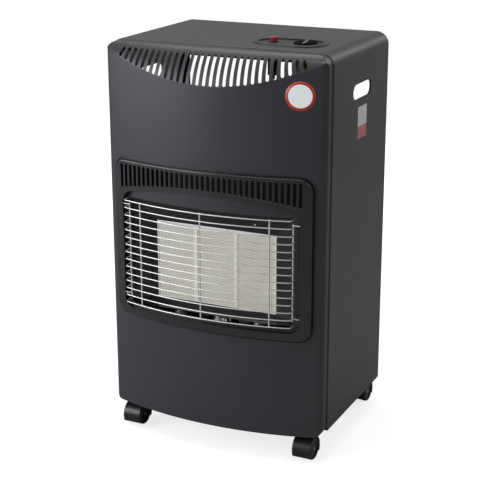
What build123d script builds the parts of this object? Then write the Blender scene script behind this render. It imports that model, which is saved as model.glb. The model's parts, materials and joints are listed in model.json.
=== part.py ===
from build123d import *
import math
import os

# Portable gas cabinet heater, in millimetres.
# +Z is up, the front faces -Y, and +X is the right side seen from the front.
# The parts are drawn with y = 0 on the seam between the cabinet wrap and the front panel.
# They are written with the floor at z = 0 and the origin in the middle of the footprint.

# ---- cabinet -------------------------------------------------------------
CABINET_WIDTH = 420.0
CABINET_DEPTH = 268.0
CABINET_TOP = 728.5
SIDE_BOTTOM = 56.0
SHEET = 1.0
TOP_CORNER_R = 23.0
FOLD_R = 2.0
FRONT_FLANGE = 20.0
REAR_FLANGE = 15.0
FLANGE_CUTBACK = 26.0
SEAT_GAP = 0.3
PAN_WALL = 22.0
BOTTLE_RING_R = 112.0
BOTTLE_FROM_REAR = 118.0
RING_SIZE = 4.0
HAND_HOLE_LENGTH = 90.0
HAND_HOLE_HEIGHT = 30.0
HAND_HOLE_Y = 136.0
HAND_HOLE_Z = 646.0

# ---- front panel ---------------------------------------------------------
BOW_R = 636.0
PANEL_INSET = 1.8
PANEL_CREST = 58.0
PANEL_BOTTOM = 51.5
PANEL_EDGE_R = 15.0
PANEL_TOP_R = 21.0
PANEL_BOTTOM_R = 15.0
PANEL_FLANGE = 8.0
CREASE_DROP = 62.7
CREASE_RISE = 51.3
BROW_BACK = 25.0
BROW_BOW = 13.6
BROW_DROP = 8.0
SCOOP_BULGE = 0.065
SCOOP_RUN_OUT = 4.0
SCOOP_SLOTS = 29
SCOOP_MARGIN = 35.7
SCOOP_SLOT_WIDTH = 6.0
SCOOP_SLOT_DROP = 8.2
SCOOP_SLOT_LIFT = 4.3
SCOOP_FAN = 0.96

# ---- burner bezel and its grille ------------------------------------------
BEZEL_MARGIN = 19.5
BEZEL_BOTTOM = 233.0
BEZEL_TOP = 523.0
BEZEL_CORNER_R = 24.0
BEZEL_PROUD = 7.5
BEZEL_SKIN = 1.6
BEZEL_SEAT_GAP = 0.2
BEZEL_EDGE_R = 3.0
POCKET_GAP = 3.0
POCKET_DEPTH = 2.5
GRILLE_SLOTS = 35
GRILLE_MARGIN = 19.1
GRILLE_SLOT_WIDTH = 5.0
GRILLE_BEVEL = 0.9
GRILLE_LIFT = 9.0
GRILLE_SLOT_DROP = 18.0
GRILLE_HEAD = 7.5
APERTURE_MARGIN = 19.5
APERTURE_SILL = 15.0
APERTURE_HEAD = 41.5
APERTURE_ARCH_R = 850.0
APERTURE_TOP_R = 22.0
APERTURE_BOTTOM_R = 18.0

# ---- windows pressed out of the front panel --------------------------------
WINDOW_LEDGE = 8.0
WINDOW_SILL = 6.5
WINDOW_HEAD = 28.2
WINDOW_TOP_R = 8.0
WINDOW_BOTTOM_R = 14.0
VENT_REACH = 8.6
VENT_HEAD = 3.5
VENT_LIFT = 5.0

# ---- wire guard ------------------------------------------------------------
WIRE_R = 1.05
STAY_R = 1.3
WELD_GAP = 0.02
GUARD_CREST = 79.75
GUARD_BOW_R = 570.0
GUARD_INSET = 10.5
GUARD_WIRES = 15
GUARD_SILL = 15.0
GUARD_HEAD = 28.2
GUARD_STAY_INSET = 36.2
GUARD_REAR_Y = -40.0
GUARD_BEND_R = 6.0
GUARD_PIN_WIRES = 0.85
GUARD_PIN_GAP = 0.3

# ---- burner ----------------------------------------------------------------
BURNER_LIFT = 83.5
PLAQUE_PITCH = 78.5
PLAQUE_WIDTH = 74.6
PLAQUE_HEIGHT = 140.0
PLAQUE_THICK = 12.0
PLAQUE_FRONT_Y = -14.5
PLAQUE_CLEARANCE = 0.4
BOX_DEPTH = 27.5
BOX_SHEET = 1.0
BOX_LEDGE = 3.0
FRAME_THICK = 1.5
FRAME_MARGIN = 1.5
FRAME_TOP_MARGIN = 4.0
WINDOW_WIDTH = 73.0
WINDOW_HEIGHT = 138.5
REFLECTOR_SHEET = 0.8
REFLECTOR_FIT = 0.2
REFLECTOR_MARGIN = 2.0
REFLECTOR_SILL = 4.5
REFLECTOR_HEAD = 2.7
REFLECTOR_KNEE_Y = -30.5
REFLECTOR_LIP_Y = -45.0
REFLECTOR_GAP = 1.0
TUBE_THROAT_R = 8.0
TUBE_MOUTH_R = 12.0
TUBE_WALL = 1.2
TUBE_LENGTH = 32.0
MANIFOLD_R = 6.0
MANIFOLD_DROP = 12.0
MANIFOLD_REACH = 22.0
INJECTOR_LENGTH = 14.0
INJECTOR_R = 3.5
RAIL_SHEET = 1.5
RAIL_HEIGHT = 40.0
RAIL_FLANGE = 12.0
SHIELD_Y = 46.0
SHIELD_BOTTOM = 200.0
SHIELD_TOP = 560.0
SHIELD_FLANGE = 14.0
SHIELD_FOOT = 30.0

# ---- pilot -----------------------------------------------------------------
PILOT_X = 31.0
PILOT_Y = -47.5
PILOT_LIFT = 9.0
PILOT_R = 4.0
PILOT_PLATE_DROP = 12.0
PILOT_PLATE_LEFT = 14.0
PILOT_PLATE_RIGHT = 17.0
PILOT_PLATE_FRONT = 4.0
PILOT_PLATE_BACK = 5.0
PILOT_SHEET = 1.2
PILOT_ARM = 10.0
THERMOCOUPLE_DX = 12.0
ELECTRODE_DX = -9.0
PROBE_STEM_R = 2.2

# ---- controls --------------------------------------------------------------
KNOB_FROM_SIDE = 84.0
KNOB_Y = 80.0
KNOB_R = 20.4
KNOB_TOP_ABOVE = 2.5
KNOB_THICK = 6.5
KNOB_PUSH = 4.0
WELL_CLEARANCE = 1.0
WELL_WALL = 2.0
SPINDLE_R = 3.0
RUNNING_FIT = 0.05
HUB_R = 8.0
HUB_LENGTH = 9.0
BUTTON_SPACING = 57.5
BUTTON_Y = 76.0
BUTTON_R = 6.5
BUTTON_ABOVE = 9.0
BUTTON_TRAVEL = 6.0
BUTTON_CLEARANCE = 0.35
TRAY_R_BIG = 43.0
TRAY_R_SMALL = 39.0
TRAY_THICK = 3.0
TRAY_RECESS = 2.0
TRAY_MARGIN = 8.0
TRAY_FIT = 0.2
RIM_PROUD = 2.0
RIM_WIDTH = 10.0
RIM_EDGE_R = 1.0
NUT_HEIGHT = 1.6
BRACKET_SHEET = 1.5
BRACKET_WIDTH = 64.0
BRACKET_DEPTH = 50.0
BRACKET_HEIGHT = 17.0
PIPE_R = 3.0
VALVE_CAP_R = 17.0
VALVE_CAP_HEIGHT = 16.0
VALVE_BLOCK = 32.0
VALVE_BLOCK_HEIGHT = 32.0
VALVE_PORT = 10.0
PILOT_PORT_DX = 6.0
INLET_REACH = 30.0
INLET_DROP = 40.0
VALVE_FOOT_R = 12.0
VALVE_FOOT_HEIGHT = 10.0

# ---- rear cover ------------------------------------------------------------
COVER_MARGIN = 4.0
COVER_BOTTOM = 64.0
COVER_TOP = 560.0
COVER_BULGE = 45.0
COVER_RIM = 12.0
COVER_TAPER = 12.0
COVER_CORNER_R = 18.0
COVER_LOUVRES = 7
PEG_R = 3.0
PEG_INSET = 6.0
PEG_CLEARANCE = 0.4
PEG_LENGTH = 8.0

# ---- castors ---------------------------------------------------------------
WHEEL_R = 20.0
WHEEL_WIDTH = 13.0
WHEEL_OFFSET = 11.5
TREAD_R = 4.0
CASTOR_INSET = 37.0
CASTOR_TRAIL = 20.0
FRONT_CONTACT_Y = -7.3
REAR_OVERHANG = 2.8
WEB_WIDTH = 8.0
WEB_CUT_Z = 10.0
HOOD_GAP = 1.5
HOOD_WALL = 2.5
HOOD_CUT_Z = 9.0
HOOD_EDGE_R = 2.0
AXLE_R = 3.0
KINGPIN_R = 4.0
KINGPIN_LENGTH = 8.0
BOSS_R = 9.0
PLATE_SIZE = 40.0
PLATE_THICK = 2.5

# ---- worked-out places -----------------------------------------------------
HALF = CABINET_WIDTH / 2
INNER_HALF = HALF - SHEET
PANEL_HALF = HALF - PANEL_INSET
PANEL_TOP = CABINET_TOP - PANEL_INSET
BEZEL_WIDTH = CABINET_WIDTH - 2 * BEZEL_MARGIN
BEZEL_CREST = PANEL_CREST + BEZEL_PROUD
BEZEL_R = BOW_R + BEZEL_PROUD
PAD_CREST = PANEL_CREST - POCKET_DEPTH
PAD_R = BOW_R - POCKET_DEPTH
APERTURE_HALF = BEZEL_WIDTH / 2 - APERTURE_MARGIN
APERTURE_BOTTOM = BEZEL_BOTTOM + APERTURE_SILL
APERTURE_CROWN = BEZEL_TOP - APERTURE_HEAD
GRILLE_HALF = BEZEL_WIDTH / 2 - GRILLE_MARGIN
WINDOW_HALF = APERTURE_HALF - WINDOW_LEDGE
WINDOW_BOTTOM = APERTURE_BOTTOM + WINDOW_SILL
WINDOW_TOP = APERTURE_CROWN - WINDOW_HEAD
GUARD_HALF = APERTURE_HALF - GUARD_INSET
GUARD_STAY_X = GUARD_HALF - GUARD_STAY_INSET
GUARD_LOW_Z = APERTURE_BOTTOM + GUARD_SILL
GUARD_HIGH_Z = APERTURE_CROWN - GUARD_HEAD
REFLECTOR_HALF = WINDOW_HALF + REFLECTOR_MARGIN
REFLECTOR_BOTTOM = WINDOW_BOTTOM + REFLECTOR_SILL
REFLECTOR_TOP = WINDOW_TOP + REFLECTOR_HEAD
BURNER_CENTRE_Z = WINDOW_BOTTOM + BURNER_LIFT
PILOT_TOP = APERTURE_BOTTOM + PILOT_LIFT
PILOT_PLATE_Z = APERTURE_BOTTOM - PILOT_PLATE_DROP
KNOB_X = HALF - KNOB_FROM_SIDE
BUTTON_X = KNOB_X - BUTTON_SPACING
TRAY_TOP = CABINET_TOP - SHEET
RIM_TOP = CABINET_TOP + RIM_PROUD
TRAY_FLOOR = RIM_TOP - TRAY_RECESS
COVER_WIDTH = CABINET_WIDTH - 2 * COVER_MARGIN
CASTOR_X = HALF - CASTOR_INSET
REAR_CONTACT_Y = CABINET_DEPTH + REAR_OVERHANG
KNOB_TOP = CABINET_TOP + KNOB_TOP_ABOVE
BRACKET_TOP = TRAY_TOP - TRAY_THICK
BRACKET_FLOOR = BRACKET_TOP - BRACKET_HEIGHT
VALVE_TOP = BRACKET_FLOOR - BRACKET_SHEET
BOX_FRONT_Y = PLAQUE_FRONT_Y + 1.0
BOX_BACK_Y = BOX_FRONT_Y + BOX_DEPTH
BOX_WIDTH = PLAQUE_WIDTH + 2 * (PLAQUE_CLEARANCE + BOX_SHEET)
BOX_HEIGHT = PLAQUE_HEIGHT + 2 * (PLAQUE_CLEARANCE + BOX_SHEET)
BOX_BOTTOM = BURNER_CENTRE_Z - BOX_HEIGHT / 2
BOX_TOP = BURNER_CENTRE_Z + BOX_HEIGHT / 2
TUBE_Y = (BOX_FRONT_Y + BOX_BACK_Y) / 2
MANIFOLD_Z = BOX_BOTTOM - TUBE_LENGTH - MANIFOLD_DROP
FRAME_WIDTH = 2 * PLAQUE_PITCH + WINDOW_WIDTH + 2 * FRAME_MARGIN
FRAME_HEIGHT = WINDOW_HEIGHT + FRAME_MARGIN + FRAME_TOP_MARGIN
FRAME_CENTRE_Z = BURNER_CENTRE_Z + (FRAME_TOP_MARGIN - FRAME_MARGIN) / 2
FRONT_MOST = -(GUARD_CREST + WIRE_R)
REAR_MOST = CABINET_DEPTH + COVER_BULGE
ORIGIN_Y = (FRONT_MOST + REAR_MOST) / 2
SIDES = {"left": -1, "right": 1}
PLAQUE_PLACES = {"left": -PLAQUE_PITCH, "centre": 0.0, "right": PLAQUE_PITCH}


# ---- helpers ---------------------------------------------------------------
def front_prism(sketch, y_front, y_back):
    """Extrude a sketch drawn in x and z from y_front to y_back."""
    plane = Plane.XZ.offset(-y_back)
    return extrude(plane * sketch, y_back - y_front)


def side_prism(sketch, x_low, x_high):
    """Extrude a sketch drawn in y and z from x_low to x_high."""
    plane = Plane.YZ.offset(x_low)
    return extrude(plane * sketch, x_high - x_low)


def plan_prism(sketch, z_low, z_high):
    """Extrude a sketch drawn in x and y from z_low to z_high."""
    return extrude(Pos(0, 0, z_low) * sketch, z_high - z_low)


def block(x_low, x_high, y_low, y_high, z_low, z_high):
    """A box given by its limits."""
    centre = ((x_low + x_high) / 2, (y_low + y_high) / 2, (z_low + z_high) / 2)
    return Pos(*centre) * Box(x_high - x_low, y_high - y_low, z_high - z_low)


def rod_z(x, y, radius, z_low, z_high):
    """An upright cylinder."""
    return Pos(x, y, (z_low + z_high) / 2) * Cylinder(radius, z_high - z_low)


def rod_x(y, z, radius, x_low, x_high):
    """A cylinder along X."""
    return Pos((x_low + x_high) / 2, y, z) * Rot(0, 90, 0) * Cylinder(radius, x_high - x_low)


def rod_y(x, z, radius, y_low, y_high):
    """A cylinder along Y."""
    return Pos(x, (y_low + y_high) / 2, z) * Rot(90, 0, 0) * Cylinder(radius, y_high - y_low)


def rounded_outline(half, z_low, z_high, low_r, high_r):
    """A front-view rectangle with its own radius for the lower and the upper corners."""
    width = 2 * half
    height = z_high - z_low
    face = Pos(0, (z_low + z_high) / 2) * Rectangle(width, height)
    if low_r > 0:
        face = fillet(face.vertices().group_by(Axis.Y)[0], low_r)
    if high_r > 0:
        face = fillet(face.vertices().group_by(Axis.Y)[-1], high_r)
    return face


def bow_y(x, crest, radius):
    """Depth of a bowed face that stands crest in front of the seam at its middle."""
    return radius - crest - math.sqrt(radius * radius - x * x)


def bowed_plan(half, crest, radius, back_y, edge_r):
    """Plan outline with a bowed front and straight sides back to back_y."""
    side_y = bow_y(half, crest, radius)
    sides = Polyline((half, side_y), (half, back_y), (-half, back_y), (-half, side_y))
    front = ThreePointArc((-half, side_y), (0, -crest), (half, side_y))
    face = make_face([sides, front])
    if edge_r > 0:
        face = fillet(face.vertices().group_by(Axis.Y)[0], edge_r)
    return face


def bowed_slab(crest, radius, half, back_y, z_low, z_high):
    """A prism with a bowed front, used to trim or cut bowed shells."""
    return plan_prism(bowed_plan(half, crest, radius, back_y, 0), z_low, z_high)


def save(shape, node):
    """Write one sub-part, moved so that the origin is in the middle of the footprint."""
    placed = Pos(0, -ORIGIN_Y, 0) * shape
    export_step(placed, "parts/" + node + ".step")


# ---- cabinet ---------------------------------------------------------------
def tray_outline(margin):
    """Pear-shaped outline of the control panel, grown by margin."""
    big = Pos(KNOB_X - 1.0, KNOB_Y - 4.0) * Circle(TRAY_R_BIG + margin)
    small = Pos(BUTTON_X + 3.5, BUTTON_Y + 1.0) * Circle(TRAY_R_SMALL + margin)
    return make_hull(big.edges() + small.edges())


def wrap_solid(inset, fold_r):
    """Solid inside the wrap's surface at the given inset, with a folded front edge."""
    outline = rounded_outline(HALF - inset, SIDE_BOTTOM, CABINET_TOP - inset, 0, TOP_CORNER_R - inset)
    body = front_prism(outline, inset, CABINET_DEPTH - inset)
    rim = body.faces().sort_by(Axis.Y)[0].edges()
    folded = [edge for edge in rim if edge.center().Z > SIDE_BOTTOM + 1]
    return fillet(folded, fold_r)


def cabinet_wrap():
    """Steel sheet folded over both sides and the top, with flanges at front and rear."""
    shell = wrap_solid(0, FOLD_R) - wrap_solid(SHEET, FOLD_R - SHEET)
    reach = CABINET_DEPTH / 4
    front = rounded_outline(HALF - FRONT_FLANGE, 0, CABINET_TOP - FRONT_FLANGE, 0, 4)
    shell -= front_prism(front, -reach, reach)
    rear = rounded_outline(HALF - REAR_FLANGE, 0, CABINET_TOP - REAR_FLANGE, 0, 4)
    shell -= front_prism(rear, CABINET_DEPTH - reach, CABINET_DEPTH + reach)
    low = SIDE_BOTTOM + FLANGE_CUTBACK
    shell -= block(-INNER_HALF, INNER_HALF, -reach, reach, 0, low)
    hole = Pos(HAND_HOLE_Y, HAND_HOLE_Z) * SlotOverall(HAND_HOLE_LENGTH, HAND_HOLE_HEIGHT)
    shell -= side_prism(hole, -HALF - 1, HALF + 1)
    shell -= plan_prism(tray_outline(0), CABINET_TOP - 5, CABINET_TOP + 1)
    for place in PEG_PLACES:
        shell -= rod_y(place[0], place[1], PEG_R + PEG_CLEARANCE, CABINET_DEPTH - 5, CABINET_DEPTH + 5)
    return shell


def hand_hole_trim(side):
    """Plastic rim pressed into one hand hole; its lip lines the cut edge of the sheet."""
    lip = 1.6
    inner = SlotOverall(HAND_HOLE_LENGTH - 2 * lip, HAND_HOLE_HEIGHT - 2 * lip)
    outer = SlotOverall(HAND_HOLE_LENGTH - 0.2, HAND_HOLE_HEIGHT - 0.2)
    flange = SlotOverall(HAND_HOLE_LENGTH + 8, HAND_HOLE_HEIGHT + 8)
    place = Pos(HAND_HOLE_Y, HAND_HOLE_Z)
    throat = side_prism(place * (outer - inner), INNER_HALF, HALF)
    back = side_prism(place * (flange - inner), INNER_HALF - 2.0, INNER_HALF)
    trim = throat + back
    return trim if side > 0 else mirror(trim, Plane.YZ)


def crease_z(x):
    """Height of the smile-shaped crease where the scoop starts."""
    return PANEL_TOP - CREASE_DROP + CREASE_RISE * (x / HALF) ** 2


def brow_y(x):
    """Depth of the brow line above the scoop slots."""
    return -PANEL_CREST + BROW_BACK + BROW_BOW * (x / HALF) ** 2


def scoop_section(x):
    """Cross-section of the scoop cutter at one station across the panel."""
    crease = Vector(bow_y(x, PANEL_CREST, BOW_R), crease_z(x))
    brow = Vector(brow_y(x), PANEL_TOP - BROW_DROP)
    along = (brow - crease).normalized()
    start = crease - along * SCOOP_RUN_OUT
    chord = brow - start
    middle = (start + brow) * 0.5 + Vector(-along.Y, along.X) * (SCOOP_BULGE * chord.length)
    ridge = Vector(brow.X + BROW_DROP + 4.0, PANEL_TOP + 1.5)
    turn = (brow + ridge) * 0.5 + Vector(-1, 1).normalized() * (0.16 * BROW_DROP)
    ahead = -PANEL_CREST - 30
    above = PANEL_TOP + 12
    scoop = ThreePointArc(start, middle, brow)
    top = ThreePointArc(brow, turn, ridge)
    back = Polyline(ridge, (ridge.X, above), (ahead, above), (ahead, start.Y), start)
    return Plane.YZ.offset(x) * make_face([scoop, top, back])


def scoop_cutter(inset):
    """Everything in front of and above the scooped top of the panel."""
    reach = HALF + 2
    stations = [reach * share for share in (-1, -0.8, -0.55, -0.28, 0, 0.28, 0.55, 0.8, 1)]
    cutter = loft([scoop_section(x) for x in stations])
    return Pos(0, 0.85 * inset, -0.5 * inset) * cutter


def panel_solid(inset):
    """Solid inside the front panel's surface at the given inset."""
    plan = bowed_plan(PANEL_HALF - inset, PANEL_CREST - inset, BOW_R - inset, -inset, PANEL_EDGE_R - inset)
    body = plan_prism(plan, PANEL_BOTTOM + inset, PANEL_TOP - inset)
    outline = rounded_outline(
        PANEL_HALF - inset,
        PANEL_BOTTOM + inset,
        PANEL_TOP - inset,
        PANEL_BOTTOM_R - inset,
        PANEL_TOP_R - inset,
    )
    body &= front_prism(outline, -PANEL_CREST - 5, 5)
    return body - scoop_cutter(inset)


def scoop_slots():
    """The fan of slots across the scoop, as one cutter."""
    cuts = []
    pitch = 2 * (HALF - SCOOP_MARGIN) / (SCOOP_SLOTS - 1)
    for index in range(SCOOP_SLOTS):
        foot_x = (index - (SCOOP_SLOTS - 1) / 2) * pitch
        foot = Vector(foot_x, crease_z(foot_x) + SCOOP_SLOT_LIFT)
        head = Vector(foot_x * SCOOP_FAN, PANEL_TOP - SCOOP_SLOT_DROP)
        along = head - foot
        angle = math.degrees(math.atan2(along.Y, along.X))
        middle = (foot + head) * 0.5
        slot = SlotOverall(along.length, SCOOP_SLOT_WIDTH, rotation=angle)
        cuts.append(front_prism(Pos(middle.X, middle.Y) * slot, -PANEL_CREST - 5, -5))
    return cuts


def arch_z(x, lift):
    """Height of the arch over the burner at x, raised by lift."""
    rise = math.sqrt(APERTURE_ARCH_R ** 2 - x * x)
    return APERTURE_CROWN + lift - APERTURE_ARCH_R + rise


def vent_outline():
    """Opening behind the bezel's grille, with an arched lower edge."""
    half = GRILLE_HALF + VENT_REACH
    low = arch_z(half, VENT_LIFT)
    top = BEZEL_TOP - VENT_HEAD
    arch = ThreePointArc((-half, low), (0, arch_z(0, VENT_LIFT)), (half, low))
    return make_face([arch, Polyline((half, low), (half, top), (-half, top), (-half, low))])


def bezel_pocket(grow):
    """Shallow pocket pressed into the panel for the bezel, grown by the sheet inside it."""
    front = front_prism(bezel_outline(-POCKET_GAP - grow), -PANEL_CREST - 5, 0)
    low = BEZEL_BOTTOM - POCKET_GAP - 5
    high = BEZEL_TOP + POCKET_GAP + 5
    return front - bowed_slab(PAD_CREST - grow, PAD_R - grow, HALF + 5, 5, low, high)


def front_panel():
    """Pressed front: bowed face, rounded edges, scooped slotted top, bezel pocket and windows."""
    shell = panel_solid(0) - bezel_pocket(0)
    shell -= panel_solid(SHEET) - bezel_pocket(SHEET)
    edge = PANEL_FLANGE
    rear = rounded_outline(PANEL_HALF - edge, 0, PANEL_TOP - edge, 0, PANEL_TOP_R - edge)
    shell -= front_prism(rear, -SHEET - 1, 1)
    under = bowed_plan(PANEL_HALF - edge, PANEL_CREST - edge, BOW_R - edge, 1, 0)
    shell -= plan_prism(under, PANEL_BOTTOM - 1, PANEL_BOTTOM + SHEET + 1)
    window = rounded_outline(WINDOW_HALF, WINDOW_BOTTOM, WINDOW_TOP, WINDOW_BOTTOM_R, WINDOW_TOP_R)
    shell -= front_prism(window, -PANEL_CREST - 5, -SHEET - 1)
    shell -= front_prism(vent_outline(), -PANEL_CREST - 5, -SHEET - 1)
    shell -= scoop_slots()
    return shell


def base_pan():
    """Folded floor of the cabinet; the gas bottle stands on it and the castors bolt under it."""
    floor_top = SIDE_BOTTOM + SHEET
    wall_top = SIDE_BOTTOM + PAN_WALL
    back = CABINET_DEPTH - SHEET
    tongue = PANEL_HALF - PANEL_FLANGE - 2 * SHEET
    pan = block(-INNER_HALF, INNER_HALF, SHEET + 1.0, back, SIDE_BOTTOM, floor_top)
    pan += block(-tongue, tongue, -FRONT_TONGUE, SHEET + 1.0, SIDE_BOTTOM, floor_top)
    for side in SIDES.values():
        inner = side * (INNER_HALF - SHEET)
        outer = side * INNER_HALF
        pan += block(min(inner, outer), max(inner, outer), SHEET + 1.0, back, SIDE_BOTTOM, wall_top)
    pan += block(-INNER_HALF, INNER_HALF, back - SHEET, back, SIDE_BOTTOM, wall_top)
    ring = Circle(BOTTLE_RING_R) - Circle(BOTTLE_RING_R - RING_SIZE)
    pan += plan_prism(Pos(0, CABINET_DEPTH - BOTTLE_FROM_REAR) * ring, floor_top, floor_top + RING_SIZE)
    for x, y in CASTOR_STEMS.values():
        for dx, dy in ((-1, -1), (-1, 1), (1, -1), (1, 1)):
            hole = 0.35 * PLATE_SIZE
            pan -= rod_z(x + dx * hole, y + dy * hole, 2.2, SIDE_BOTTOM - 1, floor_top + 1)
    return pan


# ---- burner bezel ----------------------------------------------------------
def bezel_outline(inset):
    """Front-view outline of the bezel."""
    radius = BEZEL_CORNER_R - inset
    return rounded_outline(BEZEL_WIDTH / 2 - inset, BEZEL_BOTTOM + inset, BEZEL_TOP - inset, radius, radius)


def aperture_outline(grow):
    """Front-view outline of the bezel's opening, with an arched top."""
    half = APERTURE_HALF + grow
    low = APERTURE_BOTTOM - grow
    high = arch_z(half, grow)
    arch = ThreePointArc((-half, high), (0, APERTURE_CROWN + grow), (half, high))
    face = make_face([arch, Polyline((half, high), (half, low), (-half, low), (-half, high))])
    feet = face.vertices().group_by(Axis.Y)[0]
    face = fillet(feet, APERTURE_BOTTOM_R + grow)
    shoulders = [v for v in face.vertices() if abs(v.Y - high) < 0.01]
    return fillet(shoulders, APERTURE_TOP_R + grow)


def grille_slot(x):
    """Cutters for one slot of the grille, square to the bowed face and with a bevelled rim."""
    foot = APERTURE_CROWN + GRILLE_LIFT - GRILLE_SLOT_DROP * (x / GRILLE_HALF) ** 2
    length = BEZEL_TOP - GRILLE_HEAD - foot
    turn = math.asin(x / BEZEL_R)
    face = Plane(
        origin=(x, bow_y(x, BEZEL_CREST, BEZEL_R), foot + length / 2),
        x_dir=(math.cos(turn), math.sin(turn), 0),
        z_dir=(math.sin(turn), -math.cos(turn), 0),
    )
    slot = SlotOverall(length, GRILLE_SLOT_WIDTH, rotation=90)
    wide = SlotOverall(length + 4 * GRILLE_BEVEL, GRILLE_SLOT_WIDTH + 4 * GRILLE_BEVEL, rotation=90)
    through = extrude(face.offset(-BEZEL_PROUD) * slot, BEZEL_PROUD + 1)
    return [through, extrude(face.offset(GRILLE_BEVEL) * wide, amount=-3 * GRILLE_BEVEL, taper=45)]


def burner_bezel():
    """Bowed frame round the burner: raised rim, slotted grille above, lipped aperture."""
    low = BEZEL_BOTTOM - 5
    high = BEZEL_TOP + 5
    seat = PAD_CREST + BEZEL_SEAT_GAP
    behind = bowed_slab(seat, PAD_R + BEZEL_SEAT_GAP, HALF + 5, 5, low, high)
    outer = bowed_slab(BEZEL_CREST, BEZEL_R, HALF, 0, low, high)
    outer &= front_prism(bezel_outline(0), -BEZEL_CREST - 5, 0)
    rim = outer.faces().sort_by(Axis.Y)[0].edges()
    outer = fillet(rim, BEZEL_EDGE_R)
    inner = bowed_slab(BEZEL_CREST - BEZEL_SKIN, BEZEL_R - BEZEL_SKIN, HALF, 1, low, high)
    inner &= front_prism(bezel_outline(BEZEL_SKIN), -BEZEL_CREST - 5, 1)
    shell = outer - inner - behind
    lip = bowed_slab(BEZEL_CREST, BEZEL_R, HALF, 0, low, high)
    lip &= front_prism(aperture_outline(BEZEL_SKIN), -BEZEL_CREST - 5, 0)
    shell += lip - behind
    shell -= front_prism(aperture_outline(0), -BEZEL_CREST - 5, 5)
    pitch = 2 * GRILLE_HALF / (GRILLE_SLOTS - 1)
    cuts = []
    for index in range(GRILLE_SLOTS):
        cuts += grille_slot((index - (GRILLE_SLOTS - 1) / 2) * pitch)
    return shell - cuts


# ---- wire guard ------------------------------------------------------------
def cross_wire(z):
    """One bowed cross wire, bent back at both ends to the rear stays."""
    centre_y = GUARD_BOW_R - GUARD_CREST
    bend_x = GUARD_HALF - GUARD_BEND_R
    bend_y = centre_y - math.sqrt((GUARD_BOW_R - GUARD_BEND_R) ** 2 - bend_x * bend_x)
    reach = GUARD_BOW_R / (GUARD_BOW_R - GUARD_BEND_R)
    touch = Vector(bend_x * reach, centre_y + (bend_y - centre_y) * reach)
    bend = Vector(bend_x, bend_y)
    half_way = bend + (Vector(1, 0) + (touch - bend).normalized()).normalized() * GUARD_BEND_R
    edges = []
    for side in SIDES.values():
        end = (side * GUARD_HALF, bend_y, z)
        knee = (side * half_way.X, half_way.Y, z)
        edges.append(Line((side * GUARD_HALF, GUARD_REAR_Y, z), end).edge())
        edges.append(ThreePointArc(end, knee, (side * touch.X, touch.Y, z)).edge())
    front = ThreePointArc((-touch.X, touch.Y, z), (0, -GUARD_CREST, z), (touch.X, touch.Y, z))
    path = Wire(edges[:2] + [front.edge()] + edges[3:1:-1])
    start = Plane(origin=(-GUARD_HALF, GUARD_REAR_Y, z), z_dir=(0, -1, 0))
    return sweep(start * RegularPolygon(WIRE_R, 8), path=path)


def front_stay(x):
    """Upright rod welded to the back of the bowed wires."""
    back = WIRE_R + STAY_R + WELD_GAP
    y = bow_y(x, GUARD_CREST - back, GUARD_BOW_R - back)
    return rod_z(x, y, STAY_R, GUARD_LOW_Z - WIRE_R, GUARD_HIGH_Z + WIRE_R)


def rear_stay(side, step):
    """Upright rod at the wires' ends, with two pins that spring into the bezel's lip."""
    x = GUARD_HALF - WIRE_R - STAY_R - WELD_GAP
    y = GUARD_REAR_Y - STAY_R / 2
    stay = rod_z(side * x, y, STAY_R, GUARD_LOW_Z + 0.5 * step, GUARD_HIGH_Z - 0.7 * step)
    tip = APERTURE_HALF - GUARD_PIN_GAP
    for z in (GUARD_LOW_Z + GUARD_PIN_WIRES * step, GUARD_HIGH_Z - GUARD_PIN_WIRES * step):
        stay += rod_x(y, z, WIRE_R, min(side * x, side * tip), max(side * x, side * tip))
    return stay


def wire_guard():
    """Wire guard: bowed cross wires welded to three front and two rear stays."""
    step = (GUARD_HIGH_Z - GUARD_LOW_Z) / (GUARD_WIRES - 1)
    rods = [cross_wire(GUARD_LOW_Z + index * step) for index in range(GUARD_WIRES)]
    rods += [front_stay(x) for x in (-GUARD_STAY_X, 0.0, GUARD_STAY_X)]
    rods += [rear_stay(side, step) for side in SIDES.values()]
    return Compound(children=rods)


# ---- reflector and burner --------------------------------------------------
def reflector():
    """Enamelled funnel that carries the heat forward from the plaques."""
    back_y = PLAQUE_FRONT_Y - FRAME_THICK
    mouth_z = (REFLECTOR_BOTTOM + REFLECTOR_TOP) / 2
    mouth_h = REFLECTOR_TOP - REFLECTOR_BOTTOM
    throat_w = FRAME_WIDTH + 2 * REFLECTOR_FIT
    throat_h = FRAME_HEIGHT + 2 * REFLECTOR_FIT

    def inside(grow):
        rear = Pos(0, FRAME_CENTRE_Z) * Rectangle(throat_w + 2 * grow, throat_h + 2 * grow)
        front = Pos(0, mouth_z) * Rectangle(2 * (REFLECTOR_HALF + grow), mouth_h + 2 * grow)
        shape = front_prism(front, REFLECTOR_LIP_Y, REFLECTOR_KNEE_Y)
        shape += loft([Plane.XZ.offset(-back_y) * rear, Plane.XZ.offset(-REFLECTOR_KNEE_Y) * front])
        return shape + front_prism(rear, back_y, BOX_FRONT_Y)

    shell = inside(REFLECTOR_SHEET) - inside(0)
    back = SHEET + REFLECTOR_GAP
    shell &= bowed_slab(PAD_CREST - back, PAD_R - back, HALF - 5, 0, REFLECTOR_BOTTOM - 9, REFLECTOR_TOP + 9)
    flange = Pos(0, FRAME_CENTRE_Z) * Rectangle(throat_w, throat_h)
    flange -= Pos(0, BURNER_CENTRE_Z) * Rectangle(2 * PLAQUE_PITCH + PLAQUE_WIDTH + 0.4, PLAQUE_HEIGHT + 0.4)
    return shell + front_prism(flange, PLAQUE_FRONT_Y, BOX_FRONT_Y)


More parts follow.
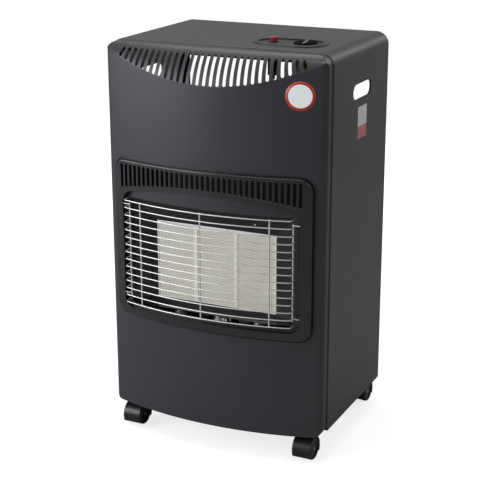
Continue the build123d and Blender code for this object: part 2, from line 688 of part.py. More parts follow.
def burner_frame():
    """Bright retaining frame with one window in front of each plaque."""
    face = Pos(0, FRAME_CENTRE_Z) * Rectangle(FRAME_WIDTH, FRAME_HEIGHT)
    for x in PLAQUE_PLACES.values():
        face -= Pos(x, BURNER_CENTRE_Z) * RectangleRounded(WINDOW_WIDTH, WINDOW_HEIGHT, 2.0)
    return front_prism(face, PLAQUE_FRONT_Y - FRAME_THICK, PLAQUE_FRONT_Y)


def burner_box(x):
    """Open-fronted gas box; the plaque sits on the ledge inside it."""
    def ring(width, height):
        return Pos(x, BURNER_CENTRE_Z) * Rectangle(width, height)

    inner_w = BOX_WIDTH - 2 * BOX_SHEET
    inner_h = BOX_HEIGHT - 2 * BOX_SHEET
    box = front_prism(ring(BOX_WIDTH, BOX_HEIGHT), BOX_FRONT_Y, BOX_BACK_Y)
    box -= front_prism(ring(inner_w, inner_h), BOX_FRONT_Y - 1, BOX_BACK_Y - BOX_SHEET)
    ledge_y = PLAQUE_FRONT_Y + PLAQUE_THICK
    ledge = ring(inner_w, inner_h) - ring(inner_w - 2 * BOX_LEDGE, inner_h - 2 * BOX_LEDGE)
    box += front_prism(ledge, ledge_y, ledge_y + BOX_SHEET)
    return box - rod_z(x, TUBE_Y, TUBE_THROAT_R, BOX_BOTTOM - 1, BOX_BOTTOM + BOX_SHEET + 0.5)


def ceramic_plaque(x):
    """Flat ceramic burner plaque with a bevelled edge."""
    face = Pos(x, BURNER_CENTRE_Z) * Rectangle(PLAQUE_WIDTH, PLAQUE_HEIGHT)
    slab = front_prism(face, PLAQUE_FRONT_Y, PLAQUE_FRONT_Y + PLAQUE_THICK)
    return chamfer(slab.faces().sort_by(Axis.Y)[0].edges(), 0.8)


def mixing_tube(x):
    """Venturi tube from the injector up into the burner box."""
    top = BOX_BOTTOM
    low = BOX_BOTTOM - TUBE_LENGTH
    throat = TUBE_THROAT_R
    mouth = TUBE_MOUTH_R
    profile = Polyline(
        (throat, top),
        (throat, low + 10),
        (mouth, low),
        (mouth + TUBE_WALL, low),
        (throat + TUBE_WALL, low + 10.5),
        (throat + TUBE_WALL, top),
        (throat, top),
    )
    return Pos(x, TUBE_Y, 0) * revolve(Plane.XZ * make_face(profile), Axis.Z)


def gas_manifold():
    """Closed tube that feeds the three injectors."""
    reach = PLAQUE_PITCH + MANIFOLD_REACH
    rail = rod_x(TUBE_Y, MANIFOLD_Z, MANIFOLD_R, -reach, reach)
    rail += rod_x(TUBE_Y, MANIFOLD_Z, MANIFOLD_R + 2.0, reach - 14.0, reach)
    return rail


def manifold_brackets():
    """Two straps that hang the manifold from the lower burner rail."""
    pair = []
    for side in (-1, 1):
        x = side * PLAQUE_PITCH / 2
        strap = block(x - 8, x + 8, BOX_BACK_Y - 1.5, BOX_BACK_Y, MANIFOLD_Z - 9, BOX_BOTTOM - 5)
        strap += block(x - 1.5, x + 1.5, TUBE_Y - 9, BOX_BACK_Y, MANIFOLD_Z - 9, MANIFOLD_Z + 9)
        pair.append(strap - rod_x(TUBE_Y, MANIFOLD_Z, MANIFOLD_R + RUNNING_FIT, x - 10, x + 10))
    return Compound(children=pair)


def injectors():
    """Three brass injectors that stand on the manifold under the mixing tubes."""
    group = []
    for x in PLAQUE_PLACES.values():
        foot = MANIFOLD_Z + MANIFOLD_R - 0.6
        nut = Pos(x, TUBE_Y, foot) * extrude(RegularPolygon(INJECTOR_R + 1.5, 6), 5.0)
        nut += rod_z(x, TUBE_Y, INJECTOR_R - 1.0, foot + 5.0, foot + INJECTOR_LENGTH)
        group.append(nut - rod_x(TUBE_Y, MANIFOLD_Z, MANIFOLD_R, x - 20, x + 20))
    return Compound(children=group)


def burner_rail(z_low):
    """Cross rail between the side walls; the burner boxes are screwed to its face."""
    rail = block(-INNER_HALF, INNER_HALF, BOX_BACK_Y, BOX_BACK_Y + RAIL_SHEET, z_low, z_low + RAIL_HEIGHT)
    for side in SIDES.values():
        near = side * (INNER_HALF - RAIL_SHEET)
        far = side * INNER_HALF
        back = BOX_BACK_Y + RAIL_FLANGE
        rail += block(min(near, far), max(near, far), BOX_BACK_Y, back, z_low, z_low + RAIL_HEIGHT)
    lip = BOX_BACK_Y + RAIL_FLANGE - 2.0
    half = INNER_HALF - RAIL_SHEET
    rail += block(-half, half, BOX_BACK_Y, lip, z_low + RAIL_HEIGHT - RAIL_SHEET, z_low + RAIL_HEIGHT)
    return rail


def burner_shield():
    """Upright heat shield between the burner and the bottle compartment."""
    shield = block(-INNER_HALF, INNER_HALF, SHIELD_Y, SHIELD_Y + SHEET, SHIELD_BOTTOM, SHIELD_TOP)
    for side in SIDES.values():
        near = side * (INNER_HALF - SHEET)
        far = side * INNER_HALF
        back = SHIELD_Y + SHIELD_FLANGE
        shield += block(min(near, far), max(near, far), SHIELD_Y, back, SHIELD_BOTTOM, SHIELD_TOP)
    foot = SHIELD_BOTTOM + SHEET
    half = INNER_HALF - SHEET
    shield += block(-half, half, SHIELD_Y - SHIELD_FOOT, SHIELD_Y, SHIELD_BOTTOM, foot)
    return shield


# ---- pilot -----------------------------------------------------------------
def pilot_bracket():
    """Small bracket that holds the pilot group in front of the burner rail."""
    low = PILOT_PLATE_Z
    top = low + PILOT_SHEET
    left = PILOT_X - PILOT_PLATE_LEFT
    right = PILOT_X + PILOT_PLATE_RIGHT
    arm = right + PILOT_ARM
    plate = block(left, right, PILOT_Y - PILOT_PLATE_FRONT, PILOT_Y + PILOT_PLATE_BACK, low, top)
    plate += block(right, arm, PILOT_Y, BOX_BACK_Y, low, top)
    plate += block(right, arm, BOX_BACK_Y - PILOT_SHEET, BOX_BACK_Y, low, BOX_BOTTOM - 5)
    for dx, radius in ((0, PILOT_R - 1.0), (THERMOCOUPLE_DX, PROBE_STEM_R), (ELECTRODE_DX, PROBE_STEM_R)):
        plate -= rod_z(PILOT_X + dx, PILOT_Y, radius + RUNNING_FIT, low - 1, top + 1)
    return plate


def pilot_burner():
    """Brass pilot jet with a hooded outlet."""
    low = PILOT_PLATE_Z - 10.0
    body = rod_z(PILOT_X, PILOT_Y, PILOT_R - 1.0, low, PILOT_TOP - 6)
    body += rod_z(PILOT_X, PILOT_Y, PILOT_R, PILOT_PLATE_Z + PILOT_SHEET, PILOT_TOP - 4)
    hood = rod_z(PILOT_X, PILOT_Y, PILOT_R + 1.0, PILOT_TOP - 10, PILOT_TOP)
    hood -= rod_z(PILOT_X, PILOT_Y, PILOT_R, PILOT_TOP - 4, PILOT_TOP + 1)
    hood -= block(PILOT_X, PILOT_X + 9, PILOT_Y - 3, PILOT_Y + 3, PILOT_TOP - 3.5, PILOT_TOP + 1)
    return body + hood


def probe(dx, tip_z, tip_r, collar_r):
    """A slim probe beside the pilot, with a collar that seats on the bracket."""
    seat = PILOT_PLATE_Z + PILOT_SHEET
    x = PILOT_X + dx
    pin = rod_z(x, PILOT_Y, tip_r, PILOT_PLATE_Z - 16, tip_z)
    pin += rod_z(x, PILOT_Y, collar_r, seat, seat + 5.8)
    pin += rod_z(x, PILOT_Y, PROBE_STEM_R, PILOT_PLATE_Z - 6, seat)
    return pin


# ---- controls --------------------------------------------------------------
def control_tray():
    """Moulded control panel: flange under the sheet, raised rim, sunken floor and knob well."""
    low = TRAY_TOP - TRAY_THICK
    well_r = KNOB_R + WELL_CLEARANCE
    well_floor = KNOB_TOP - KNOB_THICK - KNOB_PUSH - WELL_CLEARANCE
    rim = plan_prism(tray_outline(-TRAY_FIT), low, RIM_TOP)
    tray = fillet(rim.edges().group_by(Axis.Z)[-1], RIM_EDGE_R)
    tray += plan_prism(tray_outline(TRAY_MARGIN), low, TRAY_TOP)
    tray += rod_z(KNOB_X, KNOB_Y, well_r + WELL_WALL, well_floor - WELL_WALL, low + 0.5)
    tray -= plan_prism(tray_outline(-RIM_WIDTH), TRAY_FLOOR, RIM_TOP + 1)
    tray -= rod_z(KNOB_X, KNOB_Y, well_r, well_floor, RIM_TOP + 1)
    tray -= rod_z(KNOB_X, KNOB_Y, HUB_R + 0.6, well_floor - 5, well_floor + 1)
    neck_r = BUTTON_R + BUTTON_CLEARANCE + 0.8
    return tray - rod_z(BUTTON_X, BUTTON_Y, neck_r, low - 1, RIM_TOP + 1)


def control_knob():
    """Round knob with a bevelled edge and a hub over the valve spindle."""
    low = KNOB_TOP - KNOB_THICK
    disc = rod_z(KNOB_X, KNOB_Y, KNOB_R, low, KNOB_TOP)
    disc = chamfer(disc.edges().group_by(Axis.Z)[-1], KNOB_BEVEL)
    disc += rod_z(KNOB_X, KNOB_Y, HUB_R, low - HUB_LENGTH, low + 0.5)
    disc -= rod_z(KNOB_X, KNOB_Y, SPINDLE_R + RUNNING_FIT, low - HUB_LENGTH - 1, SPINDLE_TOP + 0.3)
    return disc - pointer_bar(0.0, KNOB_TOP - POINTER_SINK, KNOB_TOP + 1)


def pointer_bar(shrink, z_low, z_high):
    """Prism of the pointer bar across the knob."""
    length = 2 * (KNOB_R - 2 * KNOB_BEVEL - shrink)
    bar = Rot(0, 0, POINTER_ANGLE) * SlotOverall(length, POINTER_WIDTH - 2 * shrink)
    return plan_prism(Pos(KNOB_X, KNOB_Y) * bar, z_low, z_high)


def knob_pointer():
    """Raised pointer bar let into the top of the knob."""
    return pointer_bar(0.05, KNOB_TOP - POINTER_SINK, KNOB_TOP + POINTER_PROUD)


def valve_spindle():
    """Push-and-turn spindle of the gas valve."""
    shaft = rod_z(KNOB_X, KNOB_Y, SPINDLE_R, SPINDLE_LOW, SPINDLE_TOP)
    return chamfer(shaft.edges().group_by(Axis.Z)[-1], 0.5)


def gas_valve():
    """Valve body: round cap, square block and bosses for the pipes."""
    half = VALVE_BLOCK / 2
    reach = half + VALVE_PORT
    cap_low = VALVE_TOP - VALVE_CAP_HEIGHT
    low = cap_low - VALVE_BLOCK_HEIGHT
    body = rod_z(KNOB_X, KNOB_Y, VALVE_CAP_R, cap_low, VALVE_TOP)
    body += block(KNOB_X - half, KNOB_X + half, KNOB_Y - half, KNOB_Y + half, low, cap_low)
    body += rod_y(KNOB_X, INLET_Z, 2 * PIPE_R + 2, KNOB_Y + half, KNOB_Y + reach)
    body += rod_x(KNOB_Y, OUTLET_Z, 2 * PIPE_R + 1, KNOB_X + half, KNOB_X + reach)
    body += rod_y(KNOB_X - PILOT_PORT_DX, OUTLET_Z, 2 * PIPE_R - 1, KNOB_Y - reach, KNOB_Y - half)
    body += rod_z(KNOB_X, KNOB_Y, VALVE_FOOT_R, low - VALVE_FOOT_HEIGHT, low)
    return body - rod_z(KNOB_X, KNOB_Y, SPINDLE_R + RUNNING_FIT, SPINDLE_LOW - KNOB_PUSH - 1, VALVE_TOP + 1)


def valve_bracket():
    """Folded bracket that hangs the valve under the tray."""
    half = BRACKET_WIDTH / 2
    back = BRACKET_DEPTH / 2
    left = KNOB_X - half
    right = KNOB_X + half
    front_y = KNOB_Y - back
    rear_y = KNOB_Y + back
    low = VALVE_TOP
    shape = block(left, right, front_y, rear_y, low, BRACKET_FLOOR)
    shape += block(left, left + BRACKET_SHEET, front_y, rear_y, low, BRACKET_TOP)
    shape += block(right - BRACKET_SHEET, right, front_y, rear_y, low, BRACKET_TOP)
    return shape - rod_z(KNOB_X, KNOB_Y, 6.0, low - 1, BRACKET_FLOOR + 1)


def igniter_body():
    """Push-button spark generator with a threaded neck through the tray."""
    low = BUTTON_LOW - BUTTON_TRAVEL - 2.0
    bore = BUTTON_R + BUTTON_CLEARANCE
    body = rod_z(BUTTON_X, BUTTON_Y, 10.5, low - 38, TRAY_TOP - TRAY_THICK)
    body += rod_z(BUTTON_X, BUTTON_Y, bore + 0.75, TRAY_TOP - TRAY_THICK, TRAY_FLOOR + NUT_HEIGHT + 0.4)
    body -= rod_z(BUTTON_X, BUTTON_Y, bore, low, TRAY_FLOOR + 5)
    return body + rod_z(BUTTON_X, BUTTON_Y, 2.5, low - 46, low - 38)


def igniter_nut():
    """Ring nut that clamps the igniter to the tray."""
    inner = BUTTON_R + BUTTON_CLEARANCE + 0.8
    ring = rod_z(BUTTON_X, BUTTON_Y, inner + 1.4, TRAY_FLOOR, TRAY_FLOOR + NUT_HEIGHT)
    return ring - rod_z(BUTTON_X, BUTTON_Y, inner, TRAY_FLOOR - 1, TRAY_FLOOR + 5)


def igniter_button():
    """Red push button with a domed top."""
    cap = rod_z(BUTTON_X, BUTTON_Y, BUTTON_R, BUTTON_LOW, CABINET_TOP + BUTTON_ABOVE)
    return fillet(cap.edges().group_by(Axis.Z)[-1], 2.0)


def pipe(points, radius, bend):
    """A rigid pipe along straight runs joined by bends."""
    path = FilletPolyline(*points, radius=bend)
    start = Vector(*points[0])
    heading = Vector(*points[1]) - start
    return sweep(Plane(origin=start, z_dir=heading) * Circle(radius), path=path)


def inlet_pipe():
    """Feed pipe from the hose nozzle to the valve."""
    start = KNOB_Y + VALVE_BLOCK / 2 + VALVE_PORT
    far = start + INLET_REACH
    points = [(KNOB_X, start, INLET_Z), (KNOB_X, far, INLET_Z), (KNOB_X, far, INLET_Z - INLET_DROP)]
    return pipe(points, PIPE_R + 1.0, 12.0)


def hose_nozzle():
    """Barbed brass tail for the bottle hose."""
    top = INLET_Z - INLET_DROP
    profile = Polyline((0, top), (7.5, top), (7.5, top - 9), (4.0, top - 9), (4.0, top - 14), (5.2, top - 14),
                       (4.0, top - 20), (5.2, top - 20), (4.0, top - 26), (5.2, top - 26), (3.6, top - 34),
                       (0, top - 34), (0, top))
    solid = revolve(Plane.XZ * make_face(profile), Axis.Z)
    return Pos(KNOB_X, KNOB_Y + VALVE_BLOCK / 2 + VALVE_PORT + INLET_REACH, 0) * solid


def burner_pipe():
    """Supply pipe from the valve down the right side to the manifold."""
    side_x = HALF - FRONT_FLANGE - 9.0
    start = KNOB_X + VALVE_BLOCK / 2 + VALVE_PORT
    end = PLAQUE_PITCH + MANIFOLD_REACH
    points = [
        (start, KNOB_Y, OUTLET_Z),
        (side_x, KNOB_Y, OUTLET_Z),
        (side_x, KNOB_Y, SHIELD_TOP + 30),
        (side_x, TUBE_Y, SHIELD_TOP - 20),
        (side_x, TUBE_Y, MANIFOLD_Z),
        (end, TUBE_Y, MANIFOLD_Z),
    ]
    return pipe(points, PIPE_R, 12.0)


def pilot_pipe():
    """Thin pipe from the valve to the foot of the pilot burner."""
    side_x = HALF - FRONT_FLANGE - 22.0
    low = PILOT_PLATE_Z - 10.0
    depth = PIPE_LANE_Y
    port_x = KNOB_X - PILOT_PORT_DX
    points = [
        (port_x, KNOB_Y - VALVE_BLOCK / 2 - VALVE_PORT, OUTLET_Z),
        (port_x, depth, OUTLET_Z),
        (side_x, depth, OUTLET_Z),
        (side_x, depth, MANIFOLD_Z - 16),
        (PILOT_X, depth, MANIFOLD_Z - 16),
        (PILOT_X, PILOT_Y, MANIFOLD_Z - 16),
        (PILOT_X, PILOT_Y, low),
    ]
    return pipe(points, 2.0, 7.0)


# ---- rear cover ------------------------------------------------------------
def cover_dish(inset):
    """Tapered dish of the rear cover, measured inside its skin."""
    rim_w = COVER_WIDTH - 2 * COVER_RIM - 2 * inset
    rim_h = COVER_TOP - COVER_BOTTOM - 2 * COVER_RIM - 2 * inset
    centre = Pos(0, (COVER_TOP + COVER_BOTTOM) / 2)
    low_y = CABINET_DEPTH + SEAT_GAP
    mouth = centre * RectangleRounded(rim_w, rim_h, COVER_CORNER_R)
    back = centre * RectangleRounded(rim_w - 2 * COVER_TAPER, rim_h - 2 * COVER_TAPER, COVER_CORNER_R)
    planes = (Plane.XZ.offset(-low_y), Plane.XZ.offset(-(REAR_MOST - inset)))
    return loft([planes[0] * mouth, planes[1] * back])


def rear_cover():
    """Lift-off rear cover: flat rim, bulging dish, louvres and locating pegs."""
    low_y = CABINET_DEPTH + SEAT_GAP
    centre = Pos(0, (COVER_TOP + COVER_BOTTOM) / 2)
    rim = centre * RectangleRounded(COVER_WIDTH, COVER_TOP - COVER_BOTTOM, COVER_CORNER_R)
    cover = front_prism(rim, low_y, low_y + SHEET) + cover_dish(0)
    cover -= cover_dish(SHEET)
    span = COVER_WIDTH / 2 - COVER_RIM - COVER_TAPER - 40
    for index in range(COVER_LOUVRES):
        for base in (COVER_BOTTOM + 60, COVER_TOP - 60 - 14 * (COVER_LOUVRES - 1)):
            slot = Pos(0, base + 14 * index) * SlotOverall(2 * span * 0.55, 5.0)
            cover -= front_prism(slot, REAR_MOST - 3, REAR_MOST + 1)
    for x, z in PEG_PLACES:
        cover += rod_y(x, z, PEG_R, low_y - PEG_LENGTH, low_y + 0.5)
    return cover


# ---- castors ---------------------------------------------------------------
def castor_plate(x, y):
    """Square plate with its kingpin, bolted under the base pan."""
    top = SIDE_BOTTOM
    low = top - PLATE_THICK
    plate = plan_prism(Pos(x, y) * RectangleRounded(PLATE_SIZE, PLATE_SIZE, 4.0), low, top)
    return plate + rod_z(x, y, KINGPIN_R, low - KINGPIN_LENGTH, low + 0.5)


def castor_fork(x, stem_y, axle_y):
    """Hooded fork: centre web, hood over both wheels and a boss round the kingpin."""
    hood_r = WHEEL_R + HOOD_GAP + HOOD_WALL
    clear_r = WHEEL_R + HOOD_GAP
    half = WHEEL_OFFSET + WHEEL_WIDTH / 2
    hood = rod_x(axle_y, WHEEL_R, hood_r, x - half, x + half)
    hood = fillet(hood.edges().filter_by(GeomType.CIRCLE), HOOD_EDGE_R)
    boss_top = SIDE_BOTTOM - PLATE_THICK - SEAT_GAP
    hood += rod_z(x, stem_y, BOSS_R, WHEEL_R, boss_top)
    hood -= rod_x(axle_y, WHEEL_R, clear_r, x - half - 1, x + half + 1)
    hood -= block(x - half - 1, x + half + 1, axle_y - 40, axle_y + 40, -10, HOOD_CUT_Z)
    web = rod_x(axle_y, WHEEL_R, clear_r + 1, x - WEB_WIDTH / 2, x + WEB_WIDTH / 2)
    web -= block(x - half, x + half, axle_y - 40, axle_y + 40, -10, WEB_CUT_Z)
    fork = hood + web
    fork -= rod_x(axle_y, WHEEL_R, AXLE_R + RUNNING_FIT, x - half, x + half)
    pin_low = SIDE_BOTTOM - PLATE_THICK - KINGPIN_LENGTH - 0.5
    return fork - rod_z(x, stem_y, KINGPIN_R + RUNNING_FIT, pin_low, boss_top + 1)


def castor_wheels(x, axle_y):
    """The castor's two wheels, pressed on the common axle."""
    pair = []
    for side in (-1, 1):
        centre = x + side * WHEEL_OFFSET
        wheel = rod_x(axle_y, WHEEL_R, WHEEL_R, centre - WHEEL_WIDTH / 2, centre + WHEEL_WIDTH / 2)
        wheel = fillet(wheel.edges().filter_by(GeomType.CIRCLE), TREAD_R)
        outer = centre + side * WHEEL_WIDTH / 2
        dish = (min(outer, outer - side * 2), max(outer, outer - side * 2))
        wheel -= rod_x(axle_y, WHEEL_R, WHEEL_R - TREAD_R - 2, *dish)
        wheel -= rod_x(axle_y, WHEEL_R, AXLE_R, centre - WHEEL_WIDTH, centre + WHEEL_WIDTH)
        pair.append(wheel)
    return Compound(children=pair)


def castor_axle(x, axle_y):
    """Axle pin through the fork's web."""
    reach = WHEEL_OFFSET + WHEEL_WIDTH / 2 - 2.0
    return rod_x(axle_y, WHEEL_R, AXLE_R, x - reach, x + reach)


# ---- places that several parts share ----------------------------------------
FRONT_TONGUE = 22.0
INLET_Z = VALVE_TOP - 32.0
OUTLET_Z = VALVE_TOP - 38.0
PIPE_LANE_Y = 30.0
SPINDLE_TOP = KNOB_TOP - 4.0
SPINDLE_LOW = VALVE_TOP - 12.0
POINTER_ANGLE = 100.0
POINTER_WIDTH = 4.6
KNOB_BEVEL = 1.0
POINTER_SINK = 0.8
POINTER_PROUD = 1.0
BUTTON_LOW = TRAY_TOP - 10.0
PEG_X = COVER_WIDTH / 2 - PEG_INSET
PEG_PLACES = [(sx * PEG_X, z) for sx in (-1, 1) for z in (COVER_BOTTOM + 50, COVER_TOP - 30)]
CASTOR_STEMS = {}
CASTOR_AXLES = {}
for row, contact, turn in (("front", FRONT_CONTACT_Y, 1), ("rear", REAR_CONTACT_Y, -1)):
    for side_name, sign in SIDES.items():
        castor_name = row + "_" + side_name
        CASTOR_STEMS[castor_name] = (sign * CASTOR_X, contact + turn * CASTOR_TRAIL)
        CASTOR_AXLES[castor_name] = (sign * CASTOR_X, contact)


def main():
    os.makedirs("parts", exist_ok=True)
    save(cabinet_wrap(), "cabinet_wrap")
    save(front_panel(), "front_panel")
    save(base_pan(), "base_pan")
    save(burner_shield(), "burner_shield")
    save(rear_cover(), "rear_cover")
    for side_name, sign in SIDES.items():
        save(hand_hole_trim(sign), "hand_hole_trim_" + side_name)
    save(burner_bezel(), "burner_bezel")
    save(wire_guard(), "wire_guard")
    save(reflector(), "reflector")
    save(burner_frame(), "burner_frame")
    for place, x in PLAQUE_PLACES.items():
        save(burner_box(x), "burner_box_" + place)
        save(ceramic_plaque(x), "ceramic_plaque_" + place)
        save(mixing_tube(x), "mixing_tube_" + place)
    save(gas_manifold(), "gas_manifold")
    save(manifold_brackets(), "manifold_brackets")
    save(injectors(), "injectors")
    save(burner_rail(BOX_TOP - RAIL_HEIGHT / 2), "burner_rail_upper")
    save(burner_rail(BOX_BOTTOM - RAIL_HEIGHT / 2), "burner_rail_lower")
    save(pilot_bracket(), "pilot_bracket")
    save(pilot_burner(), "pilot_burner")
    save(probe(THERMOCOUPLE_DX, PILOT_TOP + 2, 1.2, 3.2), "thermocouple")
    save(probe(ELECTRODE_DX, PILOT_TOP - 2, 1.0, 3.4), "spark_electrode")
    save(control_tray(), "control_tray")
    save(control_knob(), "control_knob")
    save(knob_pointer(), "knob_pointer")
    save(valve_spindle(), "valve_spindle")
    save(gas_valve(), "gas_valve")
    save(valve_bracket(), "valve_bracket")
    save(igniter_body(), "igniter_body")
    save(igniter_nut(), "igniter_nut")
    save(igniter_button(), "igniter_button")
    save(inlet_pipe(), "inlet_pipe")
    save(hose_nozzle(), "hose_nozzle")
    save(burner_pipe(), "burner_pipe")
    save(pilot_pipe(), "pilot_pipe")
    for name in CASTOR_STEMS:
        x, stem_y = CASTOR_STEMS[name]
        axle_y = CASTOR_AXLES[name][1]
        save(castor_plate(x, stem_y), "castor_plate_" + name)
        save(castor_fork(x, stem_y, axle_y), "castor_fork_" + name)
        save(castor_axle(x, axle_y), "castor_axle_" + name)
        save(castor_wheels(x, axle_y), "castor_wheels_" + name)


main()
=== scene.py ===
import json
import math

import bmesh
import bpy
from mathutils import Matrix, Vector

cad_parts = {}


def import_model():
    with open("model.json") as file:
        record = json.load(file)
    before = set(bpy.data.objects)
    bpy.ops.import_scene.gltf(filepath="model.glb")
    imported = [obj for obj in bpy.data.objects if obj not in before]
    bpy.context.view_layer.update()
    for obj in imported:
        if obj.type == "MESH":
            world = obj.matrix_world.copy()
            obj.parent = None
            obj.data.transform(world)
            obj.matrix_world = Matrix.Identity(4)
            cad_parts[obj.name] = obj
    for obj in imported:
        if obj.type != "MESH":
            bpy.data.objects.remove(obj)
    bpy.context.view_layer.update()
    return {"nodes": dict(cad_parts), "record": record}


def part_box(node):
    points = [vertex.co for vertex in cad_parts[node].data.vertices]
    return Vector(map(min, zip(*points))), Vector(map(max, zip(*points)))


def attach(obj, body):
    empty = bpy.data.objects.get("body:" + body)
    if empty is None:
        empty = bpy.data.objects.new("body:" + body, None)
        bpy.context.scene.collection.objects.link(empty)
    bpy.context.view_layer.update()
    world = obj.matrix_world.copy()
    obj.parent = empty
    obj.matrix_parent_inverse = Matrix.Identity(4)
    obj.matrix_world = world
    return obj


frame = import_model()
nodes = frame["nodes"]
slot_of = {part["node"]: part["material_slot"] for part in frame["record"]["subparts"]}

# ------------------------------------------------------------------- sizes
# Lengths are metres of the row frame. Names in _AT are points in the drawing's millimetres.
# The drawing's y = 0 is the seam between the wrap and the front panel; the row frame is shifted.
SHIFT_Y = -0.1161
BOW_R = 0.636  # plan radius of the front panel
PANEL_CREST = 0.058  # the panel's middle stands this far in front of the seam
SIDE_WALL_X = 0.210  # outside of the right side wall
FLOOR_OF_TRAY = 0.7285  # sunken floor of the control tray

FLAME_HOLE_PITCH = 0.0029
PLAQUE_PITCH = 0.0785  # from the middle of one plaque to the next
PLAQUE_HOLES_HALF = 0.0343  # the flame holes reach this far from the middle of a plaque
PLAQUE_RIM_BLEND = 0.0004  # over this width they end

SIGN_X, SIGN_Z = 0.166, 0.661  # middle of the round sign on the front
SIGN_DISC_RADIUS, SIGN_DISC_LIFT = 0.0222, 0.00028
SIGN_RIM_RADII, SIGN_RIM_LIFT = (0.0196, 0.0246), 0.00034
SIGN_RINGS, SIGN_STEPS = 6, 96
SIGN_EDGE_DROP = 0.9  # share of the lift that the sign's edge turns back

LABEL_AT = (0, 138.5, 0)  # middle of the side label; only its y is used
LABEL_WIDTH, LABEL_CORNER = 0.043, 0.002
LABEL_FACE, LABEL_FOOT = 0.00022, 0.00002  # clear of the side wall
LABEL_PARTS = (  # name, bottom, top, material
    ("side_label_upper", 0.5835, 0.618, "label_grey"),
    ("side_label_lower", 0.561, 0.5833, "label_red"),
)

FRAME_SCREWS_X = (-0.1051, 0.0239)
FRAME_SCREW_RADIUS, FRAME_SCREW_DROP = 0.0014, 0.0021
REFLECTOR_SCREW_RADIUS, REFLECTOR_SCREW_AT = 0.0016, (78.6, -37, 423)
SCREW_SUNK = 0.0002  # the head's side reaches this far into the sheet

# Marks beside the knob, on the floor of the tray.
MARK_HEIGHT = 0.00025
DASH_AT, DASH_LENGTH, DASH_WIDTH = (94.5, 93, 0), 0.009, 0.0022
DOT_AT, DOT_RADIUS, DOT_STEPS = (147.6, 102.8, 0), 0.0016, 20

# -------------------------------------------------------- camera and lamps
CAMERA_AZIMUTH, CAMERA_ELEVATION, CAMERA_ROLL = 25.51, 17.46, -0.13  # degrees
CAMERA_TARGET_AT, CAMERA_DISTANCE = (39.59, 0, 389.3), 2.25731
FOCAL_PIXELS, PHOTO_PIXELS, SENSOR_MM = 1287.26, 480, 36

WHITE = (1, 1, 1)
LAMPS = (  # name, place, target, width, height, watts, tint
    ("key_left", (-1.95, -1.9, 1.1), (0, 0, 0.45), 2.0, 1.6, 66, (0.96, 0.985, 1.02)),
    ("overhead", (-0.45, 0.2, 3.2), (-0.1, 0.2, 0), 2.6, 2.6, 80, WHITE),
    ("back_right", (1.5, 2.4, 1.9), (0.1, 0, 0.6), 1.6, 1.2, 14, WHITE),
    ("edge_right", (2.3, -0.9, 1.8), (0.2, 0, 0.65), 0.6, 1.2, 11, WHITE),
)
WORLD_FILL, WORLD_GLOSSY = 0.27, 0.38  # what a diffuse ray and a glossy ray find in the world

FLOOR_REACH, FLOOR_BEHIND = 9.0, 2.6  # to the front and sides, and to the back
FLOOR_DARK, FLOOR_LIGHT = (0.37, 0.37, 0.37), (0.39, 0.39, 0.39)
GLOW_NEAR, GLOW_FAR = 0.77, 1.0  # what the camera sees added to the floor
GLOW_FROM, GLOW_TO = 0.45, 1.5  # distances from the object between which it grows

# --------------------------------------------------------- material tables
# Colour, roughness, grain scale, grain depth, grain strength, specular level, mottle, coat.
COATED = {
    "cabinet_paint": ((0.0225, 0.0236, 0.0268), 0.4, 1500, 0.00005, 0.22, 0.4, 0.08, 0),
    "inner_paint": ((0.028, 0.028, 0.03), 0.5, 1500, 0.00005, 0.25, 0.35, 0.08, 0),
    "bezel_black": ((0.011, 0.011, 0.0122), 0.2, 1900, 0.00004, 0.1, 0.45, 0.08, 0),
    "enamel_black": ((0.005, 0.0045, 0.006), 0.18, 260, 0.00008, 0.15, 0.33, 0.08, 0.1),
    "castor_plastic": ((0.010, 0.010, 0.011), 0.28, 900, 0.00003, 0.1, 0.36, 0.08, 0),
    "wheel_plastic": ((0.015, 0.015, 0.016), 0.45, 1200, 0.00005, 0.25, 0.4, 0.08, 0),
    "black_plastic": ((0.014, 0.014, 0.015), 0.42, 1400, 0.00005, 0.25, 0.4, 0.08, 0),
    "pointer_grey": ((0.13, 0.13, 0.13), 0.6, 1400, 0.00004, 0.2, 0.2, 0.08, 0),
    "button_red": ((0.24, 0.004, 0.028), 0.3, 900, 0.00003, 0.1, 0.35, 0.08, 0.1),
    "knob_black": ((0.005, 0.005, 0.0055), 0.8, 1400, 0.00005, 0.25, 0.02, 0.08, 0),
    "frame_enamel": ((0.80, 0.79, 0.745), 0.45, 700, 0.00004, 0.2, 0.4, 0.04, 0),
    "sign_white": ((0.86, 0.87, 0.87), 0.35, 700, 0.00003, 0.1, 0.5, 0.03, 0),
    "sign_red": ((0.36, 0.028, 0.014), 0.35, 700, 0.00003, 0.1, 0.5, 0.05, 0),
    "label_red": ((0.40, 0.11, 0.10), 0.4, 700, 0.00003, 0.1, 0.5, 0.04, 0),
    "label_grey": ((0.52, 0.54, 0.54), 0.4, 700, 0.00003, 0.1, 0.5, 0.04, 0),
    "mark_dark": ((0.006, 0.006, 0.006), 0.5, 900, 0.00003, 0.1, 0.3, 0.08, 0),
}
